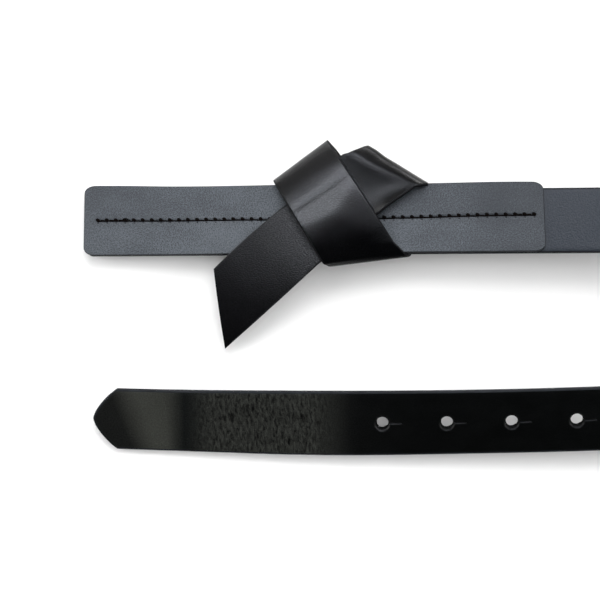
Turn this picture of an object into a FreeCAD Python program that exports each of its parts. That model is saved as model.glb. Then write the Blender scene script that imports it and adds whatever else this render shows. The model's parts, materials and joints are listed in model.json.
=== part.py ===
import FreeCAD
import Part
import math
import os

V = FreeCAD.Vector

# ---- Driving dimensions, in mm and degrees ----
STRAP_W = 30.0            # strap width
STRAP_T = 3.0             # strap thickness
EDGE_BEVEL = 0.45         # bevelled edges of strap and panel
FLEX_GAP = 0.2            # hairline between two strap sections at a bend line

PANEL_L = 214.0           # front panel laid over the front end
PANEL_W = 32.0
PANEL_T = 2.0
PANEL_OFFSET = 1.7        # the panel sits this far towards the belt's upper edge
PANEL_R = 3.0             # rounded panel corners
FRONT_END_INSET = 0.8     # the strap's own end stops just short of the panel's
FRONT_FLEX = 245.0        # bend line behind the panel, from the front end

FRONT_YAW = 0.24          # how the front end lies: turned, rising to the right, rolled
FRONT_PITCH = 4.4
FRONT_ROLL = 5.0
FRONT_Z = 1.48

# The centre seam through panel and strap, in two runs: start, end, distance from the strap's centre line
SEAM_RUNS = ((6.0, 118.0, 1.2), (136.0, 209.6, 1.9))
THREAD_R = 0.22
GROOVE_W = 0.6            # the thread is pulled down into a groove in the leather
GROOVE_D = 0.5

BAND_T = 1.8              # knot band
BAND_W = 31.5
BAND_W_FRONT = 31.8
BAND_START = (105.2, -7.4)
BAND_HEADING = 43.7       # direction of the lower crossing, up to the right
BAND_BEND = ((93.2, 6.4), (110.2, -20.1))   # bend line of the tail, beside the upper crossing
BAND_FOLDS = (            # run before the fold, fold line angle, layer after it
    (46.7, -29.2, -2.85),
    (39.3, 9.3, 7.9),
    (48.7, 36.7, -0.95),
)
BAND_LAYER = 5.95         # mid height of the lower crossing over the strap's underside
BAND_LAST_RUN = 47.0
BAND_ARCH = 3.2           # the upper crossing stands off the lower one in an arch
ARCH_STEPS = 12
FOLD_BULGE = 3.3          # how far a fold stands out past its flat layers
FOLD_SQUARE = 3.0         # superellipse exponent of a fold
FOLD_STEPS = 16

TAIL_CUT = ((61.9, -22.3), (66.1, -57.7))
TAIL_BEND_Y = -13.0       # the tail droops from here, past the panel's lower edge
TAIL_DROOP = 14.0

STUD_X = 127.0            # stud under the knot
STUD_SHANK_R = 1.75
STUD_HOLE_R = 1.85
STUD_HEAD_R = 4.0
STUD_NECK_R = 2.2
SCREW_HEAD_R = 4.5
SCREW_HEAD_T = 0.9

TIP_X = 3.6               # where the pointed end lies
TIP_Y = -90.7
TIP_Z = 3.13
TIP_PITCH = 2.5
TIP_ROLL = 12.0
BOW_R = 3170.0            # the hole end lies in a slight bow
BOW_MID = 110.2
TIP_POINT_L = 11.5        # pointed part of the tip
TIP_SHOULDER_W = 28.8
TIP_TAPER_L = 90.0
TIP_FLEX = 110.0          # bend lines of the hole end, from the tip
RUN_FLEX = 275.0
HOLE_FIRST = 136.0        # first hole from the tip
HOLE_PITCH = 30.0
HOLE_COUNT = 5
HOLE_R = 3.0
SLIT_L = 6.0              # slit that lets the stud head through
SLIT_W = 0.6

TWIST_L = 175.0           # length over which the strap turns onto its edge
FLARE_ANGLE = 14.0        # the loop swells outwards before it turns back
FLARE_R = 200.0


# ---- Frames ----
def frame(origin, yaw, pitch, roll):
    rot = FreeCAD.Rotation(V(0, 0, 1), yaw)
    rot = rot.multiply(FreeCAD.Rotation(V(0, 1, 0), -pitch))
    rot = rot.multiply(FreeCAD.Rotation(V(1, 0, 0), roll))
    return FreeCAD.Placement(origin, rot)


FRONT = frame(V(0, 0, FRONT_Z), FRONT_YAW, FRONT_PITCH, -FRONT_ROLL)
TIP = frame(V(TIP_X, TIP_Y, TIP_Z), 0.0, TIP_PITCH, TIP_ROLL)


def moved(shape, place):
    copy = shape.copy()
    copy.Placement = place.multiply(copy.Placement)
    return copy


def unit(angle):
    return V(math.cos(math.radians(angle)), math.sin(math.radians(angle)), 0)


def smooth(f):
    return f * f * (3.0 - 2.0 * f)


# ---- Flat leather plates ----
def bevel_long_edges(solid, heights, keep_sharp):
    """Bevel every edge lying in the given heights, except on the bend-line ends."""
    edges = []
    for edge in solid.Edges:
        ends = [v.Point for v in edge.Vertexes]
        if len(ends) < 2:
            continue
        if not any(all(abs(p.z - h) < 1e-4 for p in ends) for h in heights):
            continue
        if any(all(abs(p.x - x) < 0.8 for p in ends) for x in keep_sharp):
            continue
        edges.append(edge)
    return solid.makeChamfer(EDGE_BEVEL, edges)


def rounded_plate(x0, x1, y0, y1, z0, z1, r_left, r_right):
    points = []
    corners = ((x0, y0, 180, r_left), (x1, y0, 270, r_right), (x1, y1, 0, r_right), (x0, y1, 90, r_left))
    for x, y, start, r in corners:
        if r == 0:
            points.append([V(x, y, z0)])
            continue
        cx = x + r if x == x0 else x - r
        cy = y + r if y == y0 else y - r
        arc = [V(cx, cy, z0) + unit(start + a) * r for a in (0, 45, 90)]
        points.append(arc)
    edges = []
    for i, arc in enumerate(points):
        if len(arc) == 3:
            edges.append(Part.Arc(arc[0], arc[1], arc[2]).toShape())
        edges.append(Part.makeLine(arc[-1], points[(i + 1) % 4][0]))
    face = Part.Face(Part.Wire(edges))
    return face.extrude(V(0, 0, z1 - z0))


def cylinder(x, y, z0, z1, r):
    return Part.makeCylinder(r, z1 - z0, V(x, y, z0), V(0, 0, 1))


def groove(run, z0, z1):
    start, end, y = run
    return Part.makeBox(end - start + 1.0, GROOVE_W, z1 - z0, V(start - 0.5, y - GROOVE_W / 2, z0))


# ---- Front end: strap section, panel, seams ----
def strap_front_section():
    y = STRAP_W / 2
    solid = rounded_plate(FRONT_END_INSET, FRONT_FLEX - FLEX_GAP / 2, -y, y, 0, STRAP_T, PANEL_R, 0)
    solid = bevel_long_edges(solid, (0,), (FRONT_FLEX,))
    solid = solid.cut(cylinder(STUD_X, 0, -1, STRAP_T + 1, STUD_HOLE_R))
    for run in SEAM_RUNS:
        solid = solid.cut(groove(run, -1, GROOVE_D))
    return solid


def front_panel():
    y0 = PANEL_OFFSET - PANEL_W / 2
    y1 = PANEL_OFFSET + PANEL_W / 2
    top = STRAP_T + PANEL_T
    solid = rounded_plate(0, PANEL_L, y0, y1, STRAP_T, top, PANEL_R, PANEL_R)
    solid = bevel_long_edges(solid, (top,), ())
    solid = solid.cut(cylinder(STUD_X, 0, STRAP_T - 1, top + 1, STUD_HOLE_R))
    solid = solid.cut(cylinder(STUD_X, 0, top - SCREW_HEAD_T - 0.05, top + 1, SCREW_HEAD_R + 0.1))
    for run in SEAM_RUNS:
        solid = solid.cut(groove(run, top - GROOVE_D, top + 1))
    return solid


def thread(run, z):
    start, end, y = run
    return Part.makeCylinder(THREAD_R, end - start, V(start, y, z), V(1, 0, 0))


# ---- Stud ----
def stud_screw():
    top = STRAP_T + PANEL_T
    head = cylinder(STUD_X, 0, top - SCREW_HEAD_T, top, SCREW_HEAD_R)
    head = head.cut(Part.makeBox(10, 1.0, 1.0, V(STUD_X - 5, -0.5, top - 0.45)))
    shank = cylinder(STUD_X, 0, -6.6, top - SCREW_HEAD_T + 0.01, STUD_SHANK_R)
    return head.fuse(shank).removeSplitter()


def cone(z0, z1, r0, r1):
    return Part.makeCone(r0, r1, z1 - z0, V(STUD_X, 0, z0), V(0, 0, 1))


def stud_post():
    """Flange against the band, neck, and a domed head that buttons into a hole."""
    flange, neck_top, brim, crown = -3.82, -4.9, -8.6, -11.0
    rise = brim - crown
    ball = (STUD_HEAD_R ** 2 + rise ** 2) / (2 * rise)
    head = Part.makeSphere(ball, V(STUD_X, 0, crown + ball))
    head = head.common(cylinder(STUD_X, 0, crown - 1, brim + 0.7, STUD_HEAD_R))
    solid = head.fuse(cylinder(STUD_X, 0, brim, neck_top, STUD_NECK_R))
    solid = solid.fuse(cone(neck_top, neck_top + 0.6, STUD_NECK_R, STUD_HEAD_R))
    solid = solid.fuse(cylinder(STUD_X, 0, neck_top + 0.6, flange, STUD_HEAD_R))
    solid = solid.cut(cylinder(STUD_X, 0, -6.7, flange + 1, STUD_SHANK_R + 0.03))
    return solid.removeSplitter()


# ---- Knot band: one strip folded three times ----
class Strip:
    """Follows the middle of a flat strip and records one cross line per station."""

    def __init__(self):
        self.mid = V(BAND_START[0], BAND_START[1], BAND_LAYER)
        self.heading = BAND_HEADING
        self.width = BAND_W
        self.left = 1.0       # +1 while the strip's left edge is on the left of its heading
        self.face = 1.0       # +1 while the strip's good side faces up
        self.stations = []

    def cross_line(self, angle):
        along = unit(self.heading)
        left = V(-along.y, along.x, 0) * self.left
        f = unit(angle)
        if f.dot(left) < 0:
            f = f * -1
        out = along - f * along.dot(f)
        sine = out.Length
        out.normalize()
        return f, out, along.dot(f) / sine, self.width / 2 / sine

    def add(self, centre, f, half, normal):
        n = normal * (BAND_T / 2)
        a = centre + f * half
        b = centre - f * half
        self.stations.append((a + n, b + n, b - n, a - n))

    def flat_line(self, angle):
        f, out, slip, half = self.cross_line(angle)
        self.add(self.mid, f, half, V(0, 0, self.face))

    def advance(self, length):
        self.mid = self.mid + unit(self.heading) * length

    def arch(self, length, turn_from, turn_to):
        """A run that rises in an arch, its cross lines turning evenly from one fold to the next."""
        start = self.mid
        for i in range(1, ARCH_STEPS):
            f = i / ARCH_STEPS
            self.mid = start + unit(self.heading) * (length * f)
            line, out, slip, half = self.cross_line(turn_from + (turn_to - turn_from) * f)
            rise = BAND_ARCH * math.sin(math.pi * f) ** 1.3
            slope = BAND_ARCH * 1.3 * math.sin(math.pi * f) ** 0.3 * math.cos(math.pi * f) * math.pi / length
            normal = V(0, 0, 1) - unit(self.heading) * slope
            normal.normalize()
            self.add(self.mid + V(0, 0, rise), line, half, normal)
        self.mid = start + unit(self.heading) * length

    def fold(self, angle, layer):
        f, out, slip, half = self.cross_line(angle)
        b = (layer - self.mid.z) / 2
        middle = (layer + self.mid.z) / 2
        turn = []
        for i in range(FOLD_STEPS + 1):
            a = math.pi * i / FOLD_STEPS
            p = FOLD_BULGE * abs(math.sin(a)) ** (2 / FOLD_SQUARE)
            z = -b * math.copysign(abs(math.cos(a)) ** (2 / FOLD_SQUARE), math.cos(a))
            turn.append((p if 0 < i < FOLD_STEPS else 0.0, z))
        run = 0.0
        start = V(self.mid.x, self.mid.y, middle)
        for i, (p, z) in enumerate(turn):
            if i:
                run += math.hypot(p - turn[i - 1][0], z - turn[i - 1][1])
            lo = turn[max(i - 1, 0)]
            hi = turn[min(i + 1, FOLD_STEPS)]
            dp = hi[0] - lo[0]
            dz = hi[1] - lo[1]
            if i == 0:
                dp, dz = 1.0, 0.0
            if i == FOLD_STEPS:
                dp, dz = -1.0, 0.0
            size = math.hypot(dp, dz)
            normal = (out * (-dz / size) + V(0, 0, dp / size)) * self.face
            centre = start + out * p + f * (run * slip) + V(0, 0, z)
            self.add(centre, f, half, normal)
        along = unit(self.heading)
        back = f * (2 * along.dot(f)) - along
        self.mid = V(start.x, start.y, 0) + f * (run * slip) + V(0, 0, layer)
        self.heading = math.degrees(math.atan2(back.y, back.x))
        self.left = -self.left
        self.face = -self.face


def knot_strip():
    strip = Strip()
    upper = V(BAND_BEND[0][0], BAND_BEND[0][1], BAND_LAYER)
    lower = V(BAND_BEND[1][0], BAND_BEND[1][1], BAND_LAYER)
    line = upper - lower
    half = line.Length / 2
    line.normalize()
    strip.add((upper + lower) * 0.5, line, half, V(0, 0, 1))
    for i, (run, angle, layer) in enumerate(BAND_FOLDS):
        if i < 2:
            strip.advance(run)
        else:
            strip.arch(run, BAND_FOLDS[1][1], angle)
        if i:
            strip.width = BAND_W_FRONT
        strip.fold(angle, layer)
    strip.advance(BAND_LAST_RUN)
    strip.flat_line(0.0)
    return strip


def knot_band():
    wires = [Part.makePolygon(list(s) + [s[0]]) for s in knot_strip().stations]
    solid = Part.makeLoft(wires, True, True)
    return solid.cut(cylinder(STUD_X, 0, -5, 1, STUD_HOLE_R))


def knot_tail():
    first = knot_strip().stations[0]
    shift = unit(BAND_HEADING) * -FLEX_GAP
    upper = first[0] + shift
    lower = first[1] + shift
    low = -90.0
    corners = (upper, V(TAIL_CUT[0][0], TAIL_CUT[0][1], 0), V(TAIL_CUT[1][0], TAIL_CUT[1][1], 0), lower)
    outline = [V(p.x, p.y, low) for p in corners]
    prism = Part.Face(Part.makePolygon(outline + [outline[0]])).extrude(V(0, 0, 180))
    mids = [V(0, 20.0, BAND_LAYER)]
    count = 12
    reach = TAIL_BEND_Y - TAIL_CUT[1][1] + 1.0
    for i in range(count + 1):
        f = i / count
        mids.append(V(0, TAIL_BEND_Y - reach * f, BAND_LAYER - TAIL_DROOP * f * f))
    above = []
    below = []
    for i, p in enumerate(mids):
        step = mids[min(i + 1, len(mids) - 1)] - mids[max(i - 1, 0)]
        if i < 2:
            step = V(0, -1, 0)
        step.normalize()
        n = V(0, -step.z, step.y) * -1
        if n.z < 0:
            n = n * -1
        above.append(p + n * (BAND_T / 2))
        below.append(p - n * (BAND_T / 2))
    edges = [Part.makeLine(above[0], above[1])]
    curve = Part.BSplineCurve()
    curve.interpolate(above[1:], InitialTangent=V(0, -1, 0), FinalTangent=above[-1] - above[-2])
    edges.append(curve.toShape())
    edges.append(Part.makeLine(above[-1], below[-1]))
    curve = Part.BSplineCurve()
    curve.interpolate(below[1:], InitialTangent=V(0, -1, 0), FinalTangent=below[-1] - below[-2])
    edges.append(curve.toShape())
    edges.append(Part.makeLine(below[1], below[0]))
    edges.append(Part.makeLine(below[0], above[0]))
    face = Part.Face(Part.Wire(Part.__sortEdges__(edges)))
    sheet = face.extrude(V(100, 0, 0))
    sheet.translate(V(40, 0, 0))
    return sheet.common(prism)


# ---- Hole end: a slightly bowed flat strap with holes and slits ----
def bow(x, offset):
    """Point on a line parallel to the bowed centre line, in the hole end's own frame."""
    slope = (x - BOW_MID) / BOW_R
    y = ((x - BOW_MID) ** 2 - BOW_MID ** 2) / (2 * BOW_R)
    return V(x - offset * slope, y + offset, 0)


def half_width(x):
    taper = min(max((x - TIP_POINT_L) / TIP_TAPER_L, 0.0), 1.0)
    return (TIP_SHOULDER_W + (STRAP_W - TIP_SHOULDER_W) * smooth(taper)) / 2


def side_curve(x0, x1, side, count):
    points = []
    for i in range(count + 1):
        x = x0 + (x1 - x0) * i / count
        points.append(bow(x, side * half_width(x)))
    curve = Part.BSplineCurve()
    curve.interpolate(points)
    return curve.toShape(), points[0], points[-1]


def tip_curve(side, shoulder):
    points = [V(0, 0, 0)]
    for f in (0.02, 0.10, 0.27, 0.57):
        rise = (1 - (1 - f) ** 1.1) ** (2 / 3)
        points.append(V(shoulder.x * f, shoulder.y * rise, 0))
    points.append(shoulder)
    curve = Part.BSplineCurve()
    curve.interpolate(points)
    return curve.toShape()


def strap_tip():
    end = TIP_FLEX - FLEX_GAP / 2
    upper, u0, u1 = side_curve(TIP_POINT_L, end, 1, 8)
    lower, l0, l1 = side_curve(TIP_POINT_L, end, -1, 8)
    edges = [tip_curve(1, u0), upper, Part.makeLine(u1, l1), lower, tip_curve(-1, l0)]
    solid = Part.Face(Part.Wire(Part.__sortEdges__(edges))).extrude(V(0, 0, STRAP_T))
    return bevel_long_edges(solid, (0, STRAP_T), (end,))


def hole_positions():
    return [HOLE_FIRST + HOLE_PITCH * i for i in range(HOLE_COUNT)]


def strap_hole_run():
    start = TIP_FLEX + FLEX_GAP / 2
    end = RUN_FLEX - FLEX_GAP / 2
    upper, u0, u1 = side_curve(start, end, 1, 6)
    lower, l0, l1 = side_curve(start, end, -1, 6)
    edges = [upper, Part.makeLine(u1, l1), lower, Part.makeLine(l0, u0)]
    solid = Part.Face(Part.Wire(Part.__sortEdges__(edges))).extrude(V(0, 0, STRAP_T))
    solid = bevel_long_edges(solid, (0, STRAP_T), (start, end))
    for x in hole_positions():
        c = bow(x, 0)
        solid = solid.cut(cylinder(c.x, c.y, -1, STRAP_T + 1, HOLE_R))
        slit = Part.makeBox(SLIT_L + HOLE_R, SLIT_W, STRAP_T + 2, V(0, -SLIT_W / 2, -1))
        slit.rotate(V(0, 0, 0), V(0, 0, 1), math.degrees((x - BOW_MID) / BOW_R))
        slit.translate(c)
        solid = solid.cut(slit)
    return solid


# ---- Middle of the strap: onto its edge, round in a loop and back ----
def section_wire(centre, along, normal):
    across = normal.cross(along)
    w = STRAP_W / 2
    t = STRAP_T / 2
    e = EDGE_BEVEL
    outline = ((-w, -t + e), (-w, t - e), (-w + e, t), (w - e, t), (w, t - e), (w, -t + e), (w - e, -t), (-w + e, -t))
    points = [centre + across * a + normal * b for a, b in outline]
    return Part.makePolygon(points + [points[0]])


def end_state(place, point, along):
    """Centre, direction, pitch and tilt of the strap where a flat end meets the middle."""
    centre = place.multVec(point + V(0, 0, STRAP_T / 2))
    direction = place.Rotation.multVec(along)
    normal = place.Rotation.multVec(V(0, 0, 1))
    heading = math.degrees(math.atan2(direction.y, direction.x))
    left = unit(heading + 90)
    tilt = math.degrees(math.asin(normal.dot(left)))
    slope = direction.z / math.hypot(direction.x, direction.y)
    return centre, heading, slope, tilt


def arc_vector(h0, turn):
    """Displacement of a unit-radius arc that starts at heading h0 and turns by turn degrees."""
    side = 1.0 if turn > 0 else -1.0
    a = unit(h0 + 90 * side)
    b = unit(h0 + turn + 90 * side)
    return a - b


def middle_plan():
    bow_slope = math.degrees(math.atan((RUN_FLEX - BOW_MID) / BOW_R))
    first = end_state(FRONT, V(FRONT_FLEX, 0, 0), V(1, 0, 0))
    last = end_state(TIP, bow(RUN_FLEX, 0), unit(bow_slope) * -1)
    h0 = first[1]
    h3 = last[1]
    turn = (h3 - h0) % 360 - 360 - 2 * FLARE_ANGLE
    h1 = h0 + FLARE_ANGLE
    h2 = h1 + turn
    known = first[0] + unit(h0) * TWIST_L + arc_vector(h0, FLARE_ANGLE) * FLARE_R
    known = known + arc_vector(h2, FLARE_ANGLE) * FLARE_R
    gap = last[0] - known
    a = arc_vector(h1, turn)
    b = unit(h3)
    det = a.x * b.y - a.y * b.x
    radius = (gap.x * b.y - gap.y * b.x) / det
    back_run = (a.x * gap.y - a.y * gap.x) / det
    return first, last, h0, h1, h2, h3, turn, radius, back_run


def edge_height(tilt):
    a = math.radians(tilt)
    return STRAP_W / 2 * math.sin(a) + STRAP_T / 2 * math.cos(a)


def twist_stations(state, length, count):
    """Stations from a flat end onto the strap's edge, walking away from the flat end."""
    centre, heading, slope, tilt = state
    clear = centre.z - edge_height(tilt)
    rows = []
    for i in range(count + 1):
        f = i / count
        lift = clear * (1 - smooth(f)) + slope * length * f * (1 - f) ** 2
        angle = tilt + (90.0 - tilt) * smooth(f)
        p = V(centre.x, centre.y, 0) + unit(heading) * (length * f)
        p.z = edge_height(angle) + lift
        rows.append((p, angle))
    return rows


def twist_sections(state, length, count, forward):
    """Cross-sections of a twist; forward is the strap's own direction of travel."""
    rows = twist_stations(state, length, count)
    wires = []
    for i, (p, angle) in enumerate(rows):
        a = rows[max(i - 1, 0)][0]
        b = rows[min(i + 1, count)][0]
        rise = (b.z - a.z) / math.hypot(b.x - a.x, b.y - a.y)
        if i == 0:
            rise = state[2]
        if i == count:
            rise = 0.0
        direction = unit(state[1]) + V(0, 0, rise)
        direction.normalize()
        travel = direction * forward
        left = unit(state[1] + (90 if forward > 0 else -90))
        up = travel.cross(left)
        normal = up * math.cos(math.radians(angle)) + left * math.sin(math.radians(angle))
        wires.append(section_wire(p, travel, normal))
    return wires


def swept_arc(start, heading, turn, radius, f0, f1):
    """Stretch f0 to f1 of an arc on which the strap stands on its edge, with flat edges."""
    side = 1.0 if turn > 0 else -1.0
    centre = start + unit(heading + 90 * side) * radius
    h = heading + turn * f0
    p = centre - unit(h + 90 * side) * radius
    face = Part.Face(section_wire(p, unit(h), unit(h + 90)))
    return face.revolve(centre, V(0, 0, side), abs(turn) * (f1 - f0))


def reversed_state(last):
    """The hole end's state seen walking away from it."""
    return last[0], last[1] + 180.0, -last[2], last[3]


def middle_points():
    first, last, h0, h1, h2, h3, turn, radius, back_run = middle_plan()
    z = V(0, 0, STRAP_W / 2)
    flat = V(first[0].x, first[0].y, 0)
    a = flat + unit(h0) * TWIST_L + z
    b = a + arc_vector(h0, FLARE_ANGLE) * FLARE_R
    c = b + arc_vector(h1, turn) * radius
    centre = b + unit(h1 - 90) * radius
    apex_heading = h1 + turn / 2
    apex = centre - unit(apex_heading - 90) * radius
    return a, b, c, apex, apex_heading


def joined(solids):
    whole = solids[0]
    for solid in solids[1:]:
        whole = whole.fuse(solid)
    return whole.removeSplitter()


def strap_loop():
    first, last, h0, h1, h2, h3, turn, radius, back_run = middle_plan()
    a, b, c, apex, apex_heading = middle_points()
    start = first[0] + unit(h0) * (FLEX_GAP / 2) + V(0, 0, first[2] * FLEX_GAP / 2)
    state = (start, first[1], first[2], first[3])
    twist = Part.makeLoft(twist_sections(state, TWIST_L - FLEX_GAP / 2, 14, 1.0), True, False)
    flare = swept_arc(a, h0, FLARE_ANGLE, FLARE_R, 0, 1)
    cut = 0.5 - FLEX_GAP / 2 / radius / math.radians(abs(turn))
    return joined([twist, flare, swept_arc(b, h1, turn, radius, 0, cut)])


def strap_lower_run():
    first, last, h0, h1, h2, h3, turn, radius, back_run = middle_plan()
    a, b, c, apex, apex_heading = middle_points()
    cut = 0.5 + FLEX_GAP / 2 / radius / math.radians(abs(turn))
    half = swept_arc(b, h1, turn, radius, cut, 1)
    flare = swept_arc(c, h2, FLARE_ANGLE, FLARE_R, 0, 1)
    back = reversed_state(last)
    start = back[0] + unit(back[1]) * (FLEX_GAP / 2) + V(0, 0, back[2] * FLEX_GAP / 2)
    state = (start, back[1], back[2], back[3])
    twist = Part.makeLoft(twist_sections(state, back_run - FLEX_GAP / 2, 14, -1.0), True, False)
    return joined([half, flare, twist])


# ---- The whole belt ----
top_thread = STRAP_T + PANEL_T - GROOVE_D / 2
low_thread = GROOVE_D / 2

NODES = {
    "strap_front_section": moved(strap_front_section(), FRONT),
    "front_panel": moved(front_panel(), FRONT),
    "knot_band": moved(knot_band(), FRONT),
    "knot_tail": moved(knot_tail(), FRONT),
    "seam_left_needle_thread": moved(thread(SEAM_RUNS[0], top_thread), FRONT),
    "seam_left_bobbin_thread": moved(thread(SEAM_RUNS[0], low_thread), FRONT),
    "seam_right_needle_thread": moved(thread(SEAM_RUNS[1], top_thread), FRONT),
    "seam_right_bobbin_thread": moved(thread(SEAM_RUNS[1], low_thread), FRONT),
    "stud_post": moved(stud_post(), FRONT),
    "stud_screw": moved(stud_screw(), FRONT),
    "strap_loop": strap_loop(),
    "strap_lower_run": strap_lower_run(),
    "strap_hole_run": moved(strap_hole_run(), TIP),
    "strap_tip": moved(strap_tip(), TIP),
}

# The belt's origin is under the middle of its box, on the floor.
box = FreeCAD.BoundBox()
for shape in NODES.values():
    box.add(shape.optimalBoundingBox(False))
SHIFT = V(-(box.XMin + box.XMax) / 2, -(box.YMin + box.YMax) / 2, -box.ZMin)

os.makedirs("parts", exist_ok=True)
for name, shape in NODES.items():
    shape.translate(SHIFT)
    shape.exportStep("parts/" + name + ".step")
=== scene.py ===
import json
from math import asin, atan, atan2, copysign, cos, degrees, dist, hypot, pi, radians, sin, sqrt

import bmesh
import bpy
from mathutils import Matrix, Quaternion, Vector, noise


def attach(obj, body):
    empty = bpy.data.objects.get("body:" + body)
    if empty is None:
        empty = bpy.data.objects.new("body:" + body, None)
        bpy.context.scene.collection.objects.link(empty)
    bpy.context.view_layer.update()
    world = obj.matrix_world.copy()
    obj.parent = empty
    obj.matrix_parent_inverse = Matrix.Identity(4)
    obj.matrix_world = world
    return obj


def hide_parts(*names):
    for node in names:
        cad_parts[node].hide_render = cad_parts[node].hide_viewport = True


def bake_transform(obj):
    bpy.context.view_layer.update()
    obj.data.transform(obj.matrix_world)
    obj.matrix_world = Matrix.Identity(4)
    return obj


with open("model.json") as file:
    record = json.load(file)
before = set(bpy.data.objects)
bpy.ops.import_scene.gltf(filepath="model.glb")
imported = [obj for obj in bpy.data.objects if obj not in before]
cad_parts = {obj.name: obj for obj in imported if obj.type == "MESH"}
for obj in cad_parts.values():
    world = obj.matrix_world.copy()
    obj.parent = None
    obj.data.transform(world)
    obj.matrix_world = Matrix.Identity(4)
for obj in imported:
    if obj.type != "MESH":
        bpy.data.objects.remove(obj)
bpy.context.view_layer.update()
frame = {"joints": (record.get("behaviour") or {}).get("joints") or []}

MM = 0.001
CAMERA_AT, CAMERA_LENS = (101.0, -35.5, 600.0), 75.72     # in the belt's own mm frame, looking straight down

# ---- The belt's own sizes, in mm, as in the CAD ----
STRAP_W, STRAP_T = 30.0, 3.0
PANEL_L, PANEL_W, PANEL_T, PANEL_OFFSET, PANEL_R = 214.0, 32.0, 2.0, 1.7, 3.0
FRONT_INSET, FRONT_FLEX = 0.8, 245.0
FRONT_YAW, FRONT_PITCH, FRONT_ROLL, FRONT_Z = 0.24, 4.4, 5.0, 1.48
SEAM_PITCH = 4.3
SEAM_RUNS = ((6.0, 118.0, 1.2), (136.0, 209.6, 1.9))   # start, end, offset from the centre line
BAND_T, BAND_W, BAND_W_FRONT = 1.8, 31.5, 31.8
BAND_START, BAND_HEADING = (105.2, -7.4), 43.7
BAND_BEND = ((93.2, 6.4), (110.2, -20.1))
BAND_FOLDS = ((46.7, -29.2, -2.85), (39.3, 9.3, 7.9), (48.7, 36.7, -0.95))
BAND_LAYER, BAND_LAST_RUN = 5.95, 47.0
FOLD_BULGE, FOLD_SQUARE = 3.3, 3.0
TAIL_CUT = ((61.9, -22.3), (66.1, -57.7))
TAIL_BEND_Y, TAIL_DROOP = -13.0, 14.0
STUD_X = 127.0
TIP_X, TIP_Y, TIP_Z, TIP_PITCH, TIP_ROLL = 3.6, -90.7, 3.13, 2.5, 12.0
BOW_R, BOW_MID = 3170.0, 110.2
TIP_POINT_L, TIP_SHOULDER_W, TIP_TAPER_L = 11.5, 28.8, 90.0
RUN_FLEX = 275.0
HOLES = tuple(136.0 + 30.0 * i for i in range(5))
HOLE_R, SLIT_L = 3.0, 6.0
TWIST_L, FLARE_ANGLE, FLARE_R = 175.0, 14.0, 200.0


# ---- Frames ----
def placement(origin, yaw, pitch, roll):
    turn = Matrix.Rotation(radians(yaw), 4, "Z")
    turn = turn @ Matrix.Rotation(radians(-pitch), 4, "Y")
    turn = turn @ Matrix.Rotation(radians(roll), 4, "X")
    return Matrix.Translation(Vector(origin)) @ turn


def joint(name):
    return next(j for j in frame["joints"] if j["name"] == name)


FRONT = placement((0, 0, FRONT_Z), FRONT_YAW, FRONT_PITCH, -FRONT_ROLL)
TIP = placement((TIP_X, TIP_Y, TIP_Z), 0.0, TIP_PITCH, TIP_ROLL)
# The row's origin, from the joint that sits on the front end's bend line.
SHIFT = Vector(joint("front_lift")["pos_m"]) / MM - FRONT @ Vector((FRONT_FLEX, 0, STRAP_T))


def row(p):
    """A point in the belt's own mm frame, in the row frame in metres."""
    return (p + SHIFT) * MM


def unit(angle):
    return Vector((cos(radians(angle)), sin(radians(angle)), 0))


def smooth(f):
    f = min(max(f, 0.0), 1.0)
    return f * f * (3.0 - 2.0 * f)


def bump(x, centre, width):
    """1 at the centre, falling smoothly to 0 at centre +- width."""
    d = abs(x - centre) / width
    return 0.0 if d >= 1 else (1 - d * d) ** 2


def uneven(x, y, z):
    """Smooth noise, about -1 to 1."""
    return noise.noise(Vector((x, y, z)))


# ---- The strap's route: front end, onto its edge, round the loop, hole end ----
def bow(x, offset):
    slope = (x - BOW_MID) / BOW_R
    y = ((x - BOW_MID) ** 2 - BOW_MID ** 2) / (2 * BOW_R)
    return Vector((x - offset * slope, y + offset, 0))


def arc_vector(h0, turn):
    side = 1.0 if turn > 0 else -1.0
    return unit(h0 + 90 * side) - unit(h0 + turn + 90 * side)


def end_state(place, point, along):
    centre = place @ (point + Vector((0, 0, STRAP_T / 2)))
    turn = place.to_3x3()
    direction = turn @ along
    normal = turn @ Vector((0, 0, 1))
    heading = degrees(atan2(direction.y, direction.x))
    tilt = degrees(asin(normal.dot(unit(heading + 90))))
    return centre, heading, direction.z / hypot(direction.x, direction.y), tilt


bow_slope = degrees(atan((RUN_FLEX - BOW_MID) / BOW_R))
first = end_state(FRONT, Vector((FRONT_FLEX, 0, 0)), Vector((1, 0, 0)))
last = end_state(TIP, bow(RUN_FLEX, 0), -unit(bow_slope))
h0, h3 = first[1], last[1]
loop_turn = (h3 - h0) % 360 - 360 - 2 * FLARE_ANGLE
h1 = h0 + FLARE_ANGLE
h2 = h1 + loop_turn
to_close = last[0] - first[0] - unit(h0) * TWIST_L
to_close = to_close - (arc_vector(h0, FLARE_ANGLE) + arc_vector(h2, FLARE_ANGLE)) * FLARE_R
va, vb = arc_vector(h1, loop_turn), unit(h3)
det = va.x * vb.y - va.y * vb.x
LOOP_R = (to_close.x * vb.y - to_close.y * vb.x) / det
BACK_RUN = (va.x * to_close.y - va.y * to_close.x) / det
FLARE_L = FLARE_R * radians(FLARE_ANGLE)
LOOP_L = LOOP_R * radians(abs(loop_turn))
S_FLARE = FRONT_FLEX + TWIST_L
S_LOOP = S_FLARE + FLARE_L
S_FLARE_BACK = S_LOOP + LOOP_L
S_TWIST_BACK = S_FLARE_BACK + FLARE_L
S_RUN = S_TWIST_BACK + BACK_RUN
S_END = S_RUN + RUN_FLEX
point_a = Vector((first[0].x, first[0].y, STRAP_W / 2)) + unit(h0) * TWIST_L
point_b = point_a + arc_vector(h0, FLARE_ANGLE) * FLARE_R
point_c = point_b + arc_vector(h1, loop_turn) * LOOP_R


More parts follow.
